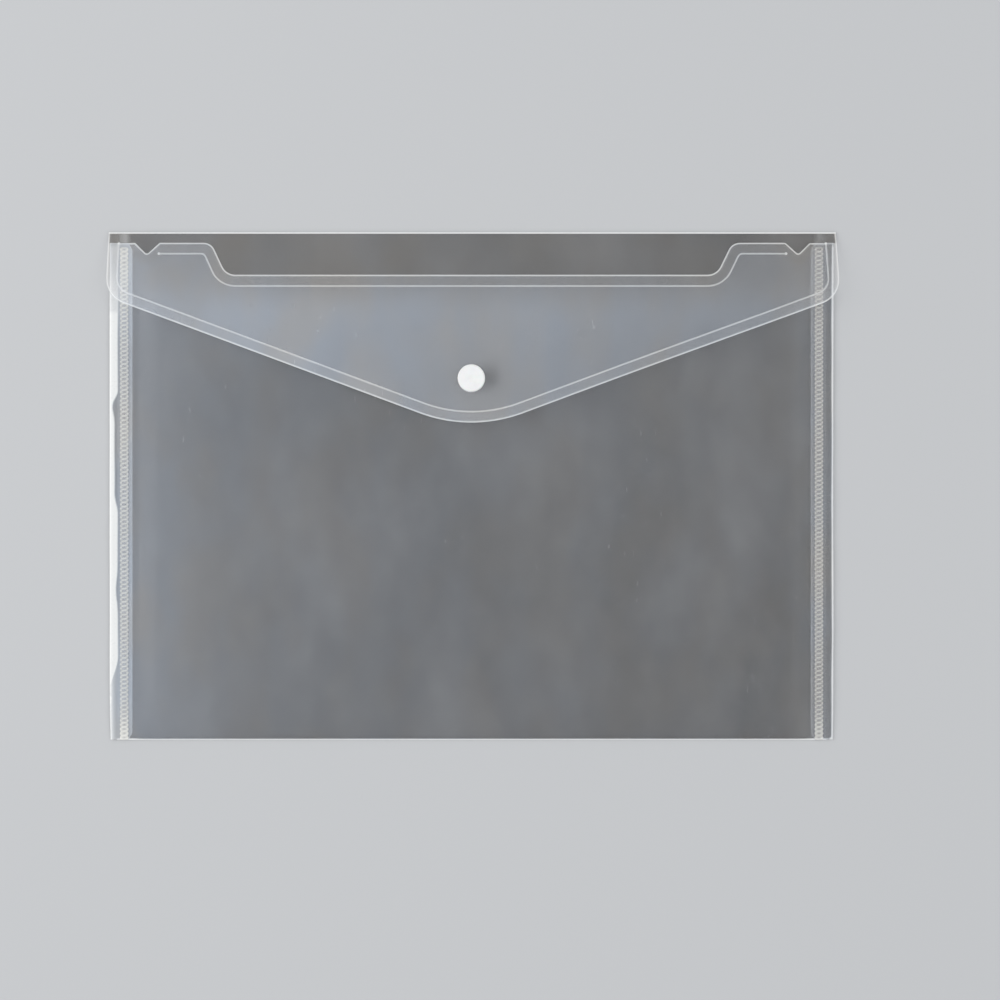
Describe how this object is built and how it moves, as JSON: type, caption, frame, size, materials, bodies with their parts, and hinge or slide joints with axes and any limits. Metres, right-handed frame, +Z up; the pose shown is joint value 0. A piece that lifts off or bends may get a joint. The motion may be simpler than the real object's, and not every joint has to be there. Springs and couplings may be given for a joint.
{
  "type": "file pocket",
  "caption": "Clear plastic A4 landscape file pocket with welded side seams, a finger recess at the mouth and a pointed flap that shuts with a white press stud.",
  "frame": {"origin": "on the table, under the middle of the pocket as it lies on its back", "axes": "+X across the pocket along its long side, +Y from the bottom crease towards the flap's crease, +Z up, out of the side that carries the flap and the press stud"},
  "size_m": [0.336, 0.235, 0.0106],
  "materials": {
    "film": "clear polypropylene film, slightly smoky, with a fine haze and soft scratches",
    "weld": "film whitened by the welding wheel",
    "stud": "moulded, opaque white"
  },
  "bodies": {
    "pocket": {"back_panel": "film", "front_panel": "film", "bottom_crease": "film", "left_side_fold": "film", "right_side_fold": "film", "left_weld_seam": "weld", "right_weld_seam": "weld", "snap_stud": "stud", "snap_backing_cap": "stud"},
    "flap": {"flap_panel": "film", "flap_crease": "film", "snap_cap": "stud", "snap_socket": "stud"}
  },
  "joints": [
    {"name": "flap_hinge", "type": "hinge", "parent": "pocket", "child": "flap", "pos_m": [0, 0.1172, 0.0003], "axis": [-1, 0, 0], "range_deg": [0, 160]}
  ]
}
